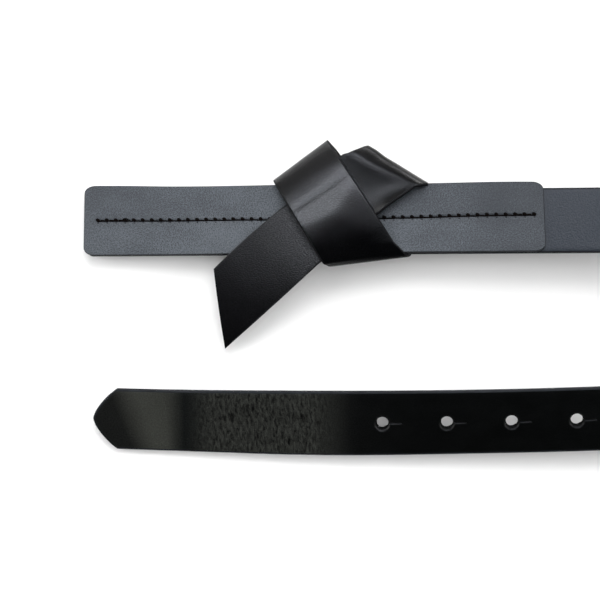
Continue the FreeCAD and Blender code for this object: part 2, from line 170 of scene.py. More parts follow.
def edge_height(tilt):
    a = radians(tilt)
    return STRAP_W / 2 * sin(a) + STRAP_T / 2 * cos(a)


def twist_point(state, length, f):
    centre, heading, slope, tilt = state
    lift = (centre.z - edge_height(tilt)) * (1 - smooth(f)) + slope * length * f * (1 - f) ** 2
    angle = tilt + (90.0 - tilt) * smooth(f)
    p = Vector((centre.x, centre.y, 0)) + unit(heading) * (length * f)
    p.z = edge_height(angle) + lift
    return p, angle


def twist_frame(state, length, f, forward):
    p, angle = twist_point(state, length, f)
    lo, hi = max(f - 0.004, 0.0), min(f + 0.004, 1.0)
    rise = (twist_point(state, length, hi)[0].z - twist_point(state, length, lo)[0].z) / (length * (hi - lo))
    travel = (unit(state[1]) + Vector((0, 0, rise))).normalized() * forward
    left = unit(state[1] + 90 * forward)
    up = travel.cross(left)
    a = radians(angle)
    return p, up * sin(a) * -1 + left * cos(a), up * cos(a) + left * sin(a)


def arc_frame(start, heading, turn, radius, f):
    side = 1.0 if turn > 0 else -1.0
    h = heading + turn * f
    p = start + unit(heading + 90 * side) * radius - unit(h + 90 * side) * radius
    return p, Vector((0, 0, -1)), unit(h + 90)


def strap_frame(s):
    """Centre, direction to the left edge and front-face normal at length s from the front end."""
    if s <= FRONT_FLEX:
        turn = FRONT.to_3x3()
        return FRONT @ Vector((s, 0, STRAP_T / 2)), turn @ Vector((0, 1, 0)), turn @ Vector((0, 0, 1))
    if s <= S_FLARE:
        return twist_frame(first, TWIST_L, (s - FRONT_FLEX) / TWIST_L, 1.0)
    if s <= S_LOOP:
        return arc_frame(point_a, h0, FLARE_ANGLE, FLARE_R, (s - S_FLARE) / FLARE_L)
    if s <= S_FLARE_BACK:
        return arc_frame(point_b, h1, loop_turn, LOOP_R, (s - S_LOOP) / LOOP_L)
    if s <= S_TWIST_BACK:
        return arc_frame(point_c, h2, FLARE_ANGLE, FLARE_R, (s - S_FLARE_BACK) / FLARE_L)
    if s <= S_RUN:
        back = (last[0], last[1] + 180.0, -last[2], last[3])
        return twist_frame(back, BACK_RUN, (S_RUN - s) / BACK_RUN, -1.0)
    turn = TIP.to_3x3()
    x = S_END - s
    slope = atan((x - BOW_MID) / BOW_R)
    across = turn @ Vector((sin(slope), -cos(slope), 0))
    return TIP @ (bow(x, 0) + Vector((0, 0, STRAP_T / 2))), across, turn @ Vector((0, 0, 1))


def half_width(s):
    x = S_END - s
    if s < FRONT_INSET + PANEL_R:
        gone = max(FRONT_INSET + PANEL_R - s, 0.0)
        return STRAP_W / 2 - PANEL_R + sqrt(max(PANEL_R ** 2 - gone ** 2, 0.0))
    taper = (x - TIP_POINT_L) / TIP_TAPER_L
    wide = (TIP_SHOULDER_W + (STRAP_W - TIP_SHOULDER_W) * smooth(taper)) / 2
    if x >= TIP_POINT_L:
        return wide
    # The ogive: full at the shoulder, round into a soft point.
    f = max(x, 0.0) / TIP_POINT_L
    return wide * (1 - (1 - f) ** 1.1) ** (2 / 3)


def end_thickness(s):
    """The strap's own front end is rounded over its thickness."""
    f = min((s - FRONT_INSET) / 1.0, 1.0)
    return 1.0 if f >= 1 else max(1 - (1 - max(f, 0.0)) ** 2.5, 0.0) ** 0.4


CREASE_X, WORN_X = 43.0, 125.0   # from the tip: a crease across, and how far it's worn
WAVES, WRINKLES, CREASE_DEEP = 0.22, 0.16, 0.14
CUT_WIDER_FRONT, CUT_WIDER_HOLES, CUT_BULGE = 0.15, 0.40, 0.45


def relief(s, v):
    """How far the leather's faces stand off their flat shape, in mm."""
    x = S_END - s
    worn = smooth((WORN_X - x) / 25) * smooth((x - CREASE_X - 1) / 10)
    h = WAVES * uneven(s / 55.0, v / 40.0, 3.0) + worn * WRINKLES * uneven(s / 4.0, v / 20.0, 9.0)
    return h - CREASE_DEEP * bump(x, CREASE_X, 5.0)


def cut_wander(s, v):
    """The strap was cut a little over its nominal width, most on one side of the hole end."""
    grown = CUT_WIDER_FRONT * (1 - smooth((s - FRONT_FLEX) / 60.0))
    grown += CUT_WIDER_HOLES * smooth((s - S_TWIST_BACK) / 60.0)
    return v * (1 + 2 * grown / STRAP_W) + CUT_BULGE * bump(S_END - s, 120.0, 65.0) * smooth(2 * v / STRAP_W)


def strap_point(s, v, h):
    """Length s, offset v to the left and height h above the mid face, all mm."""
    centre, across, normal = strap_frame(s)
    return row(centre + across * cut_wander(s, v) + normal * (h * end_thickness(s) + relief(s, v)))


# ---- Mesh helpers ----
def add_object(name, data):
    made = bpy.data.objects.new(name, data)
    bpy.context.scene.collection.objects.link(made)
    return made


def walked(points):
    """Length so far at each of a line's points."""
    lengths = [0.0]
    for a, b in zip(points, points[1:]):
        lengths.append(lengths[-1] + dist(a, b))
    return lengths


class Sheet:
    """Collects faces in leather coordinates and turns them into one object with a metre UV map."""

    def __init__(self):
        self.points, self.uvs, self.faces, self.slots = [], [], [], []

    def quad(self, corners, slot):
        """corners: (position, (u, v)) in order."""
        base = len(self.points)
        for p, uv in corners:
            self.points.append(p)
            self.uvs.append(uv)
        self.faces.append(tuple(range(base, base + len(corners))))
        self.slots.append(slot)

    def grid(self, rows, slot, flip=False):
        """rows: lists of (position, uv), all one length."""
        for a, b in zip(rows, rows[1:]):
            for i in range(len(a) - 1):
                q = [a[i], a[i + 1], b[i + 1], b[i]]
                self.quad(q[::-1] if flip else q, slot)

    def closed(self, rings):
        """A tube of rings with its two ends closed."""
        self.grid(rings, 0, flip=True)
        self.quad(rings[0][:-1], 0)
        self.quad(rings[-1][-2::-1], 0)

    def build(self, name, materials, weld=4e-6, sharp=40.0):
        mesh = bpy.data.meshes.new(name)
        mesh.from_pydata([tuple(p) for p in self.points], [], self.faces)
        layer = mesh.uv_layers.new(name="leather")
        for loop in mesh.loops:
            layer.data[loop.index].uv = self.uvs[loop.vertex_index]
        for polygon, slot in zip(mesh.polygons, self.slots):
            polygon.material_index = slot
            polygon.use_smooth = True
        work = bmesh.new()
        work.from_mesh(mesh)
        bmesh.ops.remove_doubles(work, verts=work.verts, dist=weld)
        bmesh.ops.dissolve_degenerate(work, edges=work.edges, dist=1e-7)
        bmesh.ops.recalc_face_normals(work, faces=work.faces)
        work.to_mesh(mesh)
        work.free()
        mesh.set_sharp_from_angle(angle=radians(sharp))
        for material in materials:
            mesh.materials.append(material)
        return add_object(name, mesh)


# ---- Leather pieces of the strap ----
EDGE_IN = 1.0             # how far the rounded edge reaches in from the side
EDGE_STEPS = 10
ACROSS = 16               # faces across the strap
BACK_UV = 0.2             # the back's place in the leather map, in metres
TIP_CENTRE = 9.0          # the tip's edge is rounded about this point
SLIT_OPEN = 0.32          # the slit's lips stand closer together than the cut is wide
HOLE_TAPER = 0.82         # the punch leaves the hole narrower at the back
HOLE_CELL = 15.0          # half the length of strap meshed round a hole
ROUND_STEPS = 50          # faces round a hole
WALL_STEPS = 4            # and down its wall


def edge_profile(depth, half, power=2.5):
    """(outward, height, way walked) round a leather edge from the front face to the back."""
    out = []
    for k in range(EDGE_STEPS + 1):
        a = pi * (0.5 - k / EDGE_STEPS)
        c, s = abs(cos(a)) ** (2 / power), abs(sin(a)) ** (2 / power)
        out.append((depth * (c if 0 < k < EDGE_STEPS else 0.0), half * copysign(s, sin(a))))
    return [(q, h, way) for (q, h), way in zip(out, walked(out))]


def hole_relief(s, v):
    """The punch presses the leather down at a hole's rim and raises it just outside."""
    h = 0.0
    for x in HOLES:
        ds, dv = s - (S_END - x), v
        if abs(ds) > 14:
            continue
        along = min(max(-ds, 0.0), HOLE_R + SLIT_L)
        to_slit = hypot(-ds - along, dv) - SLIT_OPEN / 2
        to_hole = hypot(ds, dv) - HOLE_R
        h += 0.10 * bump(to_hole, 1.4, 1.1) - 0.42 * bump(max(to_hole, 0.0), 0.0, 0.75)
        if to_hole > 0.4:
            h += 0.05 * bump(to_slit, 0.8, 0.8) - 0.16 * bump(max(to_slit, 0.0), 0.0, 0.32)
    return h


def front(s, v):
    return strap_point(s, v, STRAP_T / 2 + hole_relief(s, v)), (s * MM, v * MM)


def back(s, v):
    return strap_point(s, v, -STRAP_T / 2), (s * MM, v * MM + BACK_UV)


def outline_row(s):
    """Inner and outer end of one row: ((s, v) inside, direction outwards)."""
    x = S_END - s
    w = half_width(s)
    cx = max(x, TIP_CENTRE)
    d = Vector((x - cx, w, 0))
    d.normalize()
    return (S_END - (x - d.x * EDGE_IN), w - d.y * EDGE_IN), (-d.x, d.y)


def keyhole():
    """Outline of a hole with its slit: 64 points round (s, v), starting at the slit's far end."""
    lip = asin(SLIT_OPEN / 2 / HOLE_R)
    upper = [(-(HOLE_R + SLIT_L) + (SLIT_L + 0.02) * i / 6, SLIT_OPEN / 2) for i in range(6)]
    arc = [pi - lip - (2 * pi - 2 * lip) * i / ROUND_STEPS for i in range(ROUND_STEPS + 1)]
    points = [(-(HOLE_R + SLIT_L), 0.0)] + upper
    points += [(HOLE_R * cos(a), HOLE_R * sin(a)) for a in arc]
    return points + [(x, -y) for x, y in reversed(upper)]


def cell_border(half, w):
    """The 64 points round a hole's own stretch of strap, matching keyhole()."""
    n = ACROSS
    points = [(-half, w * i / (n / 2)) for i in range(n // 2)]
    points += [(-half + 2 * half * i / n, w) for i in range(n)]
    points += [(half, w - 2 * w * i / n) for i in range(n)]
    points += [(half - 2 * half * i / n, -w) for i in range(n)]
    return points + [(-half, -w + w * i / (n / 2)) for i in range(n // 2)]


RIM_STEPS = (0.0, 0.10, 0.24, 0.42, 0.65, 0.95, 1.3, 1.7, 2.3)     # distances from the hole, in mm
CELL_STEPS = (0.45, 0.7, 1.0)                                       # then shares of the way to the border


def narrowed(s, v, centre, f):
    """Draws a point of the round hole's rim in towards its middle, fully at f = 1; the slit stays."""
    ds = s - centre
    pull = 1 - (1 - HOLE_TAPER) * f * smooth((ds + HOLE_R) / 1.2)
    return centre + ds * pull, v * pull


def hole_cell(sheet, centre):
    inner, outer = keyhole(), cell_border(HOLE_CELL, STRAP_W / 2 - EDGE_IN)
    rings = []
    for step in RIM_STEPS + CELL_STEPS:
        ring = []
        for (a, b), (c, d) in zip(inner, outer):
            length = hypot(c - a, d - b)
            near = RIM_STEPS[-1] / length
            f = step / length if len(rings) < len(RIM_STEPS) else near + (1 - near) * step
            ring.append((centre + a + (c - a) * f, b + (d - b) * f))
        rings.append(ring + ring[:1])
    sheet.grid([[front(s, v) for s, v in ring] for ring in rings], 0)
    low_rings = [[narrowed(s, v, centre, 1 - k / (len(RIM_STEPS) - 1)) for s, v in ring]
                 for k, ring in enumerate(rings[:len(RIM_STEPS)])] + rings[len(RIM_STEPS):]
    sheet.grid([[back(s, v) for s, v in ring] for ring in low_rings], 2, flip=True)
    wall = []
    for k in range(WALL_STEPS + 1):
        ring = []
        for i, (s, v) in enumerate(rings[0]):
            top = STRAP_T / 2 + hole_relief(s, v)
            s, v = narrowed(s, v, centre, k / WALL_STEPS)
            p = strap_point(s, v, -STRAP_T / 2 + (top + STRAP_T / 2) * (1 - k / WALL_STEPS))
            ring.append((p, (i * 0.3 * MM, (0.4 + k * 0.75 * MM))))
        wall.append(ring)
    for start, end, slot in ((0, 8, 1), (7, 58, 3), (57, 65, 1)):      # slit, round hole, slit
        sheet.grid([ring[start:end] for ring in wall], slot, flip=True)


def strap_piece(name, stretches, cap_start=True, cap_end=True):
    """stretches: (lengths s, whether a hole's cell stands there), in order along the strap."""
    sheet = Sheet()
    profile = edge_profile(EDGE_IN, STRAP_T / 2)
    shares = [1 - 2 * i / ACROSS for i in range(ACROSS + 1)]
    for run, is_cell in stretches:
        ends = [outline_row(s) for s in run]
        if not is_cell:
            for face, slot in ((front, 0), (back, 2)):
                grid = [[face(s, w * share) for share in shares] for (s, w), d in ends]
                sheet.grid(grid, slot, flip=face is front)
        for side in (1, -1):
            strip = []
            for (s, w), (ds, dv) in ends:
                line = []
                for q, h, way in profile:
                    lift = hole_relief(s, w) if h > 0 else 0.0
                    line.append((strap_point(s + ds * q, side * (w + dv * q), h + lift * h / (STRAP_T / 2)),
                                 (s * MM, side * (w + way) * MM)))
                strip.append(line)
            sheet.grid(strip, 1, flip=side > 0)
    for run, is_cell in stretches:
        if is_cell:
            hole_cell(sheet, (run[0] + run[-1]) / 2)
    for s, on in ((stretches[0][0][0], cap_start), (stretches[-1][0][-1], cap_end)):
        if on:
            w = outline_row(s)[0][1]
            top, low = [[strap_point(s, w * share, h) for share in shares] for h in (STRAP_T / 2, -STRAP_T / 2)]
            left, right = [[strap_point(s, side * (w + q), h) for q, h, way in profile] for side in (1, -1)]
            ring = top + right[1:-1] + low[::-1] + left[1:-1][::-1]
            sheet.quad([(p, (s * MM, 0.5 + 0.001 * i)) for i, p in enumerate(ring)], 1)
    return sheet.build(name, STRAP_LOOKS)


def spread(a, b, step):
    n = max(1, round(abs(b - a) / step))
    return [a + (b - a) * i / n for i in range(n + 1)]


# ---- Materials ----
def add_node(tree, kind, inputs, **values):
    """A shader node; an input is given as a value or as the output to link to it."""
    made = tree.nodes.new("ShaderNode" + kind)
    for key, value in values.items():
        setattr(made, key, value)
    for key, value in inputs.items():
        set_input(tree, made.inputs[key], value)
    return made


def set_input(tree, socket, value):
    if hasattr(value, "is_linked"):
        tree.links.new(value, socket)
    else:
        socket.default_value = value


class Look:
    """A Principled material with short calls for the nodes it is made of."""

    def __init__(self, name, colour, roughness, **sockets):
        self.material = bpy.data.materials.new(name)
        self.material.use_nodes = True
        self.tree = self.material.node_tree
        self.shader = self.tree.nodes["Principled BSDF"]
        self.set(Base_Color=(*colour, 1.0), Roughness=roughness, **sockets)
        self.uv = self.node("UVMap", {}, uv_map="leather").outputs["UV"]
        self.height = None

    def set(self, **sockets):
        for key, value in sockets.items():
            set_input(self.tree, self.shader.inputs[key.replace("_", " ")], value)

    def node(self, kind, inputs, **values):
        return add_node(self.tree, kind, inputs, **values)

    def place(self, axis):
        """Length along (X) or offset across (Y) the leather, in metres."""
        return self.node("SeparateXYZ", {"Vector": self.uv}).outputs[axis]

    def scaled(self, sx, sy, turn=0.0):
        return self.node("Mapping", {"Scale": (1 / sx, 1 / sy, 1.0), "Rotation": (0.0, 0.0, radians(turn)),
                                     "Vector": self.uv}, vector_type="TEXTURE").outputs["Vector"]

    def noise(self, sx, sy, detail=3.0, rough=0.55, turn=0.0, distortion=0.0):
        return self.node("TexNoise", {"Scale": 1.0, "Detail": detail, "Roughness": rough, "Distortion": distortion,
                                      "Vector": self.scaled(sx, sy, turn)}, noise_dimensions="2D").outputs["Fac"]

    def pebbles(self, sx, sy, turn):
        wobble = self.noise(sx * 0.9, sy * 0.9, 2.0)
        place = self.node("Mix", {"Factor": 0.12, "A": self.scaled(sx, sy, turn), "B": wobble}, data_type="VECTOR")
        return self.node("TexVoronoi", {"Scale": 1.0, "Smoothness": 0.6, "Vector": place.outputs["Result"]},
                         voronoi_dimensions="2D", feature="SMOOTH_F1").outputs["Distance"]

    def ramp(self, source, low, high, out_low=0.0, out_high=1.0):
        return self.node("MapRange", {"Value": source, "From Min": low, "From Max": high, "To Min": out_low,
                                      "To Max": out_high}).outputs["Result"]

    def math(self, operation, a, b):
        return self.node("Math", {0: a, 1: b}, operation=operation).outputs["Value"]

    def mix(self, factor, a, b, blend_type="MIX"):
        return self.node("Mix", {"Factor": factor, "A": a, "B": b}, data_type="RGBA",
                         blend_type=blend_type).outputs["Result"]

    def colour(self, factor, low, high):
        self.set(Base_Color=self.mix(factor, (*low, 1.0), (*high, 1.0)))

    def stops(self, where, points):
        """A colour for each place: points are (place in mm, colour), from first to last."""
        start, length = points[0][0], points[-1][0] - points[0][0]
        ramp = self.node("ValToRGB", {"Fac": self.ramp(where, start * MM, (start + length) * MM)})
        stops = ramp.color_ramp.elements
        for k, (s, colour) in enumerate(points):
            stop = stops[k] if k < 2 else stops.new((s - start) / length)
            stop.position, stop.color = (s - start) / length, (*colour, 1.0)
        return ramp.outputs["Color"]

    def relief(self, source, distance, strength=1.0):
        inputs = {"Distance": distance, "Strength": strength, "Height": source}
        if self.height:
            inputs["Normal"] = self.height
        self.height = self.node("Bump", inputs).outputs["Normal"]
        self.set(Normal=self.height)


def leather(name, dark, light, roughness, grain, depth, spec, wrinkles=0.0, speckle=0.5, grain_turn=0.0,
            stretch=1.0, shades=()):
    """Grain in pebbles of size grain (mm), with patchy colour and gloss. Each of shades paints light and shade into
    the colour, multiplying it by place: (axis, from, to, factor there, factor here), lengths in mm."""
    look = Look(name, dark, roughness, Specular_IOR_Level=spec)
    per_m = 1000.0 / grain
    cells = look.pebbles(per_m / stretch, per_m * stretch, grain_turn)
    fine = look.noise(per_m * 1.6, per_m * 1.6, 2.0)
    patches = look.noise(60.0, 90.0, 3.0)
    tint = look.math("ADD", look.math("MULTIPLY", look.ramp(cells, 0.15, 0.75), speckle),
                     look.math("MULTIPLY", look.ramp(fine, 0.3, 0.7), 1 - speckle))
    look.tint = look.math("MULTIPLY", tint, look.ramp(patches, 0.3, 0.7, 0.75, 1.2))
    for axis, start, end, low, high in shades:
        shade = look.ramp(look.place(axis), start * MM, end * MM, low, high)
        look.tint = look.math("MULTIPLY", look.tint, shade)
    look.colour(look.tint, dark, light)
    look.set(Roughness=look.math("ADD", look.ramp(patches, 0.3, 0.7, roughness - 0.03, roughness + 0.03),
                                 look.ramp(fine, 0.3, 0.7, -0.03, 0.03)))
    look.relief(look.ramp(cells, 0.05, 0.7, 1.0, 0.0), depth * MM, 0.8)
    look.relief(fine, depth * 0.5 * MM, 0.6)
    if wrinkles:
        look.relief(look.noise(420.0, 60.0, 3.0, 0.6, turn=8.0, distortion=0.6), wrinkles * MM, 0.8)
    return look


strap_front = leather("strap_leather_front", (0.0012, 0.0013, 0.0014), (0.0036, 0.0038, 0.0040), 0.34, 0.75, 0.05,
                      0.32, wrinkles=0.10)
# The panel's colour carries painted light and shade: lighter along its lower (-Y) half and darker along its upper,
# dimmer at its left end, brightest from 75 to 125 mm, and darker towards its right end by the knot.
panel_front = leather("panel_leather_front", (0.0105, 0.0128, 0.0165), (0.070, 0.080, 0.092), 0.55, 0.75, 0.06, 0.3,
                      speckle=0.3, shades=(("Y", -3.0, 4.0, 1.22, 0.92), ("X", 35.0, 75.0, 1.06, 1.50),
                                           ("X", 125.0, 192.0, 1.0, 0.38)))
knot_front = leather("knot_leather_front", (0.0006, 0.0006, 0.0008), (0.0020, 0.0021, 0.0024), 0.24, 0.55, 0.045,
                     0.36)
tail_front = leather("knot_leather_tail", (0.0013, 0.0013, 0.0016), (0.0038, 0.0039, 0.0046), 0.36, 0.62, 0.12,
                     0.27, grain_turn=-43.7, stretch=1.45)


def painted_sheen_and_wear(look, tones, worn_from, worn_to):
    """Sets the leather's colour by its place along the strap: (length s, colour) points, mottled by the grain. The
    colours paint in the sheen and shade that light gives the strap. Between two lengths the leather is creased, and
    its mottling stronger."""
    length, along = tones[-1][0], look.place("X")
    slant = look.ramp(along, (length - 38) * MM, (length - 24) * MM, 0.0, 0.40)
    where = look.math("ADD", along, look.math("MULTIPLY", slant, look.place("Y")))
    streaks = look.noise(900.0, 300.0, 4.0, 0.7, turn=6.0, distortion=0.7)
    creased = look.math("MULTIPLY", look.ramp(where, (worn_from - 8) * MM, (worn_from + 8) * MM),
                        look.ramp(where, (worn_to - 4) * MM, (worn_to + 4) * MM, 1.0, 0.0))
    mottle = look.math("MULTIPLY", look.ramp(streaks, 0.35, 0.65, -0.9, 0.9), creased)
    shade = look.math("ADD", look.math("ADD", look.math("MULTIPLY", look.tint, 0.5), 0.75), mottle)
    look.set(Base_Color=look.mix(1.0, look.stops(where, tones), shade, "MULTIPLY"))


# Painted sheen and shade on one black leather: the front end's grey is painted sheen, the bright band near the tip a
# painted highlight, the dark crease tone painted shade in the crease, the mottled stretch real creasing lightened
# with painted sheen, and the tip's tone painted sheen.
SHEEN_GREY, BLACK = (0.0085, 0.0120, 0.0175), (0.0010, 0.0012, 0.0012)
MOTTLED_WITH_SHEEN, PAINTED_HIGHLIGHT = (0.0130, 0.0138, 0.0122), (0.0260, 0.0272, 0.0235)
TIP_SHEEN, PAINTED_CREASE_SHADE = (0.0040, 0.0043, 0.0040), (0.0022, 0.0028, 0.0027)
painted_sheen_and_wear(strap_front, [(0.0, SHEEN_GREY), (S_FLARE - 60, SHEEN_GREY), (S_FLARE_BACK, BLACK), (S_END - 122, BLACK),
                   (S_END - 104, MOTTLED_WITH_SHEEN), (S_END - 55, MOTTLED_WITH_SHEEN), (S_END - 45, PAINTED_CREASE_SHADE),
                   (S_END - 42, PAINTED_CREASE_SHADE), (S_END - 34, PAINTED_HIGHLIGHT), (S_END - 25, PAINTED_HIGHLIGHT),
                   (S_END - 13, TIP_SHEEN), (S_END, TIP_SHEEN)], S_END - 110, S_END - 48)
COAT_PER_LEVEL = 2.0      # a full coat mirrors as much as specular level 0.5


def polish(look, spots):
    """Sets how strongly the leather mirrors by its place along the strip: (length in mm, level) points.
    The dullest level is the leather's own, and a coat of polish adds the rest."""
    own = min(level for u, level in spots)
    coat = look.stops(look.place("X"), [(u, (COAT_PER_LEVEL * (level - own),) * 3) for u, level in spots])
    sparkle = look.ramp(look.noise(1500.0, 1500.0, 2.0, 0.7), 0.3, 0.7, 0.60, 1.40)
    look.set(Specular_IOR_Level=own, Coat_Roughness=look.shader.inputs["Roughness"].default_value,
             Coat_Normal=look.height, Coat_Weight=look.math("MULTIPLY", coat, sparkle))


polish(strap_front, [(0.0, 0.25), (S_FLARE - 60, 0.25), (S_FLARE_BACK, 0.13), (S_END - 150, 0.13),
                     (S_END - 112, 0.32), (S_END, 0.32)])


def edge_look(name, colour, spec):
    look = Look(name, colour, 0.55, Specular_IOR_Level=spec)
    streak = look.noise(300.0, 2600.0, 3.0)
    blot = look.noise(120.0, 300.0, 3.0)
    look.colour(look.ramp(blot, 0.3, 0.7), colour, tuple(c * 1.9 for c in colour))
    look.set(Roughness=look.ramp(streak, 0.3, 0.7, 0.48, 0.70))
    look.relief(streak, 0.05 * MM, 0.7)
    return look.material


def flesh_look(name, dark, light):
    look = Look(name, dark, 0.9, Specular_IOR_Level=0.25, Sheen_Weight=0.15)
    fibre = look.noise(900.0, 1500.0, 4.0, 0.7, distortion=0.8)
    cloud = look.noise(40.0, 60.0, 3.0)
    look.colour(look.math("MULTIPLY", look.ramp(fibre, 0.3, 0.7), look.ramp(cloud, 0.3, 0.7, 0.7, 1.1)), dark, light)
    look.relief(fibre, 0.12 * MM, 0.9)
    return look.material


strap_edge = edge_look("strap_edge_dyed", (0.0060, 0.0070, 0.0085), 0.12)
knot_edge = edge_look("knot_edge_dyed", (0.0020, 0.0021, 0.0025), 0.12)
tail_edge = edge_look("tail_edge_dyed", (0.0055, 0.0056, 0.0062), 0.22)
leather_back = flesh_look("strap_leather_back", (0.008, 0.0075, 0.007), (0.022, 0.020, 0.018))
# The round holes' walls: the cut edge made near black, painted shade inside the holes.
hole_wall = Look("strap_hole_wall_painted_shade", (0.0012, 0.0013, 0.0015), 0.8, Specular_IOR_Level=0.05)
# Each list: front face, cut edge, back face; the strap's also has the walls of its round holes, darker than its cut
# edge as painted shade.
STRAP_LOOKS = [strap_front.material, strap_edge, leather_back, hole_wall.material]
PANEL_LOOKS = [panel_front.material, strap_edge, leather_back]
KNOT_LOOKS = [knot_front.material, knot_edge, leather_back]
TAIL_LOOKS = [tail_front.material, tail_edge, leather_back]

thread_look = Look("thread_waxed", (0.0020, 0.0014, 0.0012), 0.85, Specular_IOR_Level=0.04)
thread_look.relief(thread_look.noise(4000.0, 9000.0, 2.0), 0.03 * MM)
metal_look = Look("stud_gunmetal", (0.20, 0.19, 0.18), 0.3, Metallic=1.0)
turning_marks = metal_look.noise(500.0, 4000.0, 3.0)
metal_look.set(Roughness=metal_look.ramp(turning_marks, 0.3, 0.7, 0.22, 0.42))
metal_look.relief(turning_marks, 0.01 * MM, 0.5)


# ---- The four strap pieces ----
ROW_STEP, CELL_STEP, TIP_STEP = 2.4, 1.875, 1.3
CUT_UP = S_FLARE - 60.0          # the pieces meet where both follow one body
CUT_BACK = S_TWIST_BACK + 60.0
TIP_ROWS, TIP_REACH = 26, 26.0   # rows that close up towards the point, and the length they cover
holes = [S_END - x for x in reversed(HOLES)]     # from the loop to the tip
hole_cells = [(spread(s - HOLE_CELL, s + HOLE_CELL, CELL_STEP), True) for s in holes]
front_rows = spread(FRONT_INSET, FRONT_INSET + 1, 0.12)[:-1] + spread(FRONT_INSET + 1, 4, 0.4)[:-1]
front_rows += spread(4, CUT_UP, ROW_STEP)
tip_rows = spread(holes[-1] + HOLE_CELL, S_END - TIP_REACH, TIP_STEP)
tip_rows += [S_END - TIP_REACH * (1 - i / TIP_ROWS) ** 1.7 for i in range(1, TIP_ROWS + 1)]
front_end = strap_piece("strap_front_end", [(front_rows, False)], cap_start=False)
round_loop = strap_piece("strap_round_loop", [(spread(CUT_UP, CUT_BACK, ROW_STEP), False)])
plain_run = (spread(CUT_BACK, holes[0] - HOLE_CELL, ROW_STEP), False)
hole_end = strap_piece("strap_hole_end", [plain_run] + hole_cells[:3])
tip_end = strap_piece("strap_tip_end", hole_cells[3:] + [(tip_rows, False)], cap_end=False)


# ---- The knot's strip ----
BAND_ACROSS = 24
BAND_EDGE = 0.75
BAND_PROFILE = edge_profile(BAND_EDGE, BAND_T / 2, 2.4)
FOLD_STEPS = 36
RUN_STEPS = (22, 26, 40, 20)      # rows on the runs before, between and after the folds
HANDOVER = 8              # rows into the lower crossing, where the tail piece meets the band
ARCH_PEAK = 11.6          # top of the upper crossing's arch, mid thickness
ARCH_SQUARE = 2.3         # how square the arch is towards its upper fold
ARCH_SQUARE_LOW = 3.2     # and towards its lower one, where it also sags
ARCH_SAG = (2.2, 6.6)     # at its left and right edge
LOWER_RISE = 3.6          # the lower crossing climbs by this much towards its fold
# How far before and after each fold line the leather already curves, at its left and right edge.
FOLD_EARLY = (((2.5, 0.8), (1.0, 0.6)), ((0.6, 0.6), (4.0, 3.4)), ((5.0, 5.0), (1.0, 1.0)))
FOLD_SQUARE_EARLY = 2.3   # how square such a fold is

# Per fold, at the left and right edge: shift of the roll along its own line, and how far its outside is drawn in.
FOLD_SLIDE = ((-3.6, -9.2), (0.0, -2.2), (0.0, 0.0))
FOLD_PULL = ((-2.1, -0.2), (2.0, 0.4), (0.0, 0.0))
CORNER_FULL = ((24, 12, Vector((0.0, 1.1, 0.0))), (36, 9, Vector((1.6, 0.5, 0.0))))   # row, reach, how far out
FOLD_ROUND = (0.7, 0.0, 0.0)                      # the left corner is drawn in by this much more
FOLD_NARROW = (0.24, -0.07, 0.0)                  # share of the half width the right edge gives up at the fold


class Fold:
    """One fold of the strip: where its line is and how the strip turns over it."""

    def __init__(self, mid, heading, width, left, angle, layer):
        along = unit(heading)
        f = unit(angle)
        if f.dot(Vector((-along.y, along.x, 0)) * left) < 0:
            f = -f
        out = along - f * along.dot(f)
        self.sine = out.length
        self.f, self.out = f, out.normalized()
        self.slip = along.dot(f) / self.sine
        self.half = width / 2 / self.sine
        self.start, self.before, self.after = mid.copy(), mid.z, layer
        self.plain = self.arc(0.0, 0.0)[-1][2]
        back = f * (2 * along.dot(f)) - along
        self.end = mid + f * (self.plain * self.slip)
        self.end.z = layer
        self.heading = degrees(atan2(back.y, back.x))

    def arc(self, early, late, crown=None):
        """(out, z, length so far) over the fold; crown gives the height where the arch takes over."""
        b, middle = (self.after - self.before) / 2, (self.after + self.before) / 2
        square = 2 / (FOLD_SQUARE_EARLY if early + late else FOLD_SQUARE)
        points = []
        for i in range(FOLD_STEPS + 1):
            a = pi * i / FOLD_STEPS
            reach = early if i < FOLD_STEPS / 2 else late
            swing = abs(sin(a)) ** square if 0 < i < FOLD_STEPS else 0.0
            p = -reach + (reach + FOLD_BULGE) * swing
            z = middle - b * copysign(abs(cos(a)) ** square, cos(a))
            top = (i > FOLD_STEPS / 2) if b > 0 else (i < FOLD_STEPS / 2)
            if crown and top:
                k = abs(2 * i / FOLD_STEPS - 1)
                p = FOLD_BULGE - (reach + FOLD_BULGE) * k ** 2.2
                z = crown(p)
            gone = points[-1][2] + hypot(p - points[-1][0], z - points[-1][1]) if points else 0.0
            points.append((p, z, gone))
        return points

    def points(self, r, early, late, crown, slide, pull):
        """The mid face's points over the fold for the fibre at r, -1 to 1 across the strip.
        slide shifts the roll along its own line, pull draws its outside in."""
        arc = self.arc(early, late, crown)
        total = self.slip * (early + self.plain + late)
        base = self.start + self.f * (r * self.half) - (self.out + self.f * self.slip) * early
        line = []
        for p, z, gone in arc:
            at = base + self.out * (p + early) + self.f * (total * gone / arc[-1][2])
            at += self.f * (slide * smooth((p + 8.0) / 11.0)) - self.out * (pull * smooth(p / FOLD_BULGE))
            line.append(Vector((at.x, at.y, z)))
        return line


